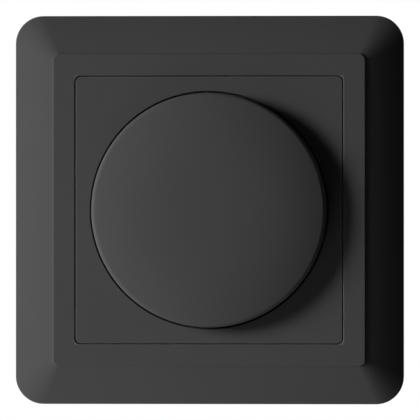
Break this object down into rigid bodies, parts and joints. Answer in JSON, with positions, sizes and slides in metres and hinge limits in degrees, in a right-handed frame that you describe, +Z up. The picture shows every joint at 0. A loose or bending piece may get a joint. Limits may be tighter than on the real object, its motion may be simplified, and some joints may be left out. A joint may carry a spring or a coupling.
{
  "type": "light dimmer",
  "caption": "Flush wall light dimmer with a large round push-and-turn knob in a square centre plate and sloping cover frame, and its insert for a round wall box.",
  "frame": {"origin": "centre of the box-screw pattern on the wall plane, on the knob's axis", "axes": "+X right as seen from the room, +Z up, +Y into the wall, so the knob faces -Y"},
  "size_m": [0.0806, 0.0404, 0.0806],
  "materials": {
    "frame_plastic": "fine matt moulded surface",
    "plate_plastic": "fine matt moulded surface",
    "knob_plastic": "fine matt moulded surface",
    "spindle_plastic": "natural polyamide",
    "clip_steel": "dark spring steel",
    "bush_brass": "turned",
    "nut_steel": "nickel plated",
    "support_steel": "zinc plated sheet",
    "screw_steel": "zinc plated",
    "can_steel": "tin plated, drawn",
    "rotor_plastic": "moulded",
    "wiper_bronze": "spring bronze",
    "carbon_film": "printed carbon",
    "phenolic": "phenolic paper laminate",
    "tinned_pins": "tinned",
    "switch_plastic": "moulded",
    "plunger_plastic": "moulded",
    "contact_bronze": "stamped, silvered tips",
    "spring_steel": "drawn wire",
    "housing_plastic": "moulded thermoset",
    "board_laminate": "solder mask over laminate",
    "terminal_plastic": "moulded",
    "cage_steel": "plated",
    "terminal_screw_steel": "plated",
    "triac_epoxy": "moulded epoxy",
    "triac_metal": "tinned copper",
    "pad_sheet": "filled silicone sheet",
    "film_case": "moulded case",
    "timing_case": "moulded case",
    "resistor_lacquer": "lacquered, banded",
    "diac_case": "lacquered",
    "trimmer_plastic": "moulded",
    "trimmer_stem": "moulded",
    "fuse_tube": "clear tube",
    "fuse_cap_metal": "nickel plated",
    "fuse_wire_metal": "drawn wire",
    "fuse_clip_metal": "sprung, tinned",
    "core_paint": "painted iron powder",
    "winding_copper": "enamelled copper wire"
  },
  "bodies": {
    "insert": {"frame": "frame_plastic", "centre_plate": "plate_plastic", "bush": "bush_brass", "lock_washer": "nut_steel", "lock_nut": "nut_steel", "ring_nut": "nut_steel", "support_plate": "support_steel", "pot_can": "can_steel", "carbon_track": "carbon_film", "track_wafer": "phenolic", "pot_pins": "tinned_pins", "switch_base": "switch_plastic", "switch_contacts": "contact_bronze", "plunger_spring": "spring_steel", "housing": "housing_plastic", "housing_screws": "screw_steel", "circuit_board": "board_laminate", "terminal_block": "terminal_plastic", "clamp_cages": "cage_steel", "terminal_screws": "terminal_screw_steel", "triac_case": "triac_epoxy", "triac_tab": "triac_metal", "insulating_pad": "pad_sheet", "triac_screw": "screw_steel", "triac_nut": "nut_steel", "film_capacitor": "film_case", "timing_capacitor": "timing_case", "resistors": "resistor_lacquer", "diac": "diac_case", "trimmer": "trimmer_plastic", "fuse_glass": "fuse_tube", "fuse_caps": "fuse_cap_metal", "fuse_wire": "fuse_wire_metal", "fuse_clips": "fuse_clip_metal", "choke_core": "core_paint", "choke_winding": "winding_copper"},
    "rotor": {"rotor": "rotor_plastic", "wiper": "wiper_bronze"},
    "knob_shaft": {"knob": "knob_plastic", "grip_ring": "clip_steel", "spindle": "spindle_plastic", "spindle_clip": "clip_steel"},
    "plunger": {"switch_plunger": "plunger_plastic", "contact_bridge": "contact_bronze"},
    "trimmer_dial": {"trimmer_spindle": "trimmer_stem"}
  },
  "joints": [
    {"name": "dim_turn", "type": "hinge", "parent": "insert", "child": "rotor", "pos_m": [0, 0, 0], "axis": [0, 1, 0], "range_deg": [-145, 145]},
    {"name": "push_switch", "type": "slide", "parent": "rotor", "child": "knob_shaft", "axis": [0, 1, 0], "range_m": [0, 0.0015], "stiffness_N_per_m": 1500, "springref_m": -0.0015, "deforming": ["plunger_spring"]},
    {"name": "plunger_push", "type": "slide", "parent": "insert", "child": "plunger", "axis": [0, 1, 0], "range_m": [0, 0.0015]},
    {"name": "trim_turn", "type": "hinge", "parent": "insert", "child": "trimmer_dial", "pos_m": [0.0145, 0, -0.0084], "axis": [0, 1, 0], "range_deg": [-135, 135]}
  ],
  "couplings": [
    {"joint": "plunger_push", "follows": "push_switch", "ratio": 1}
  ]
}
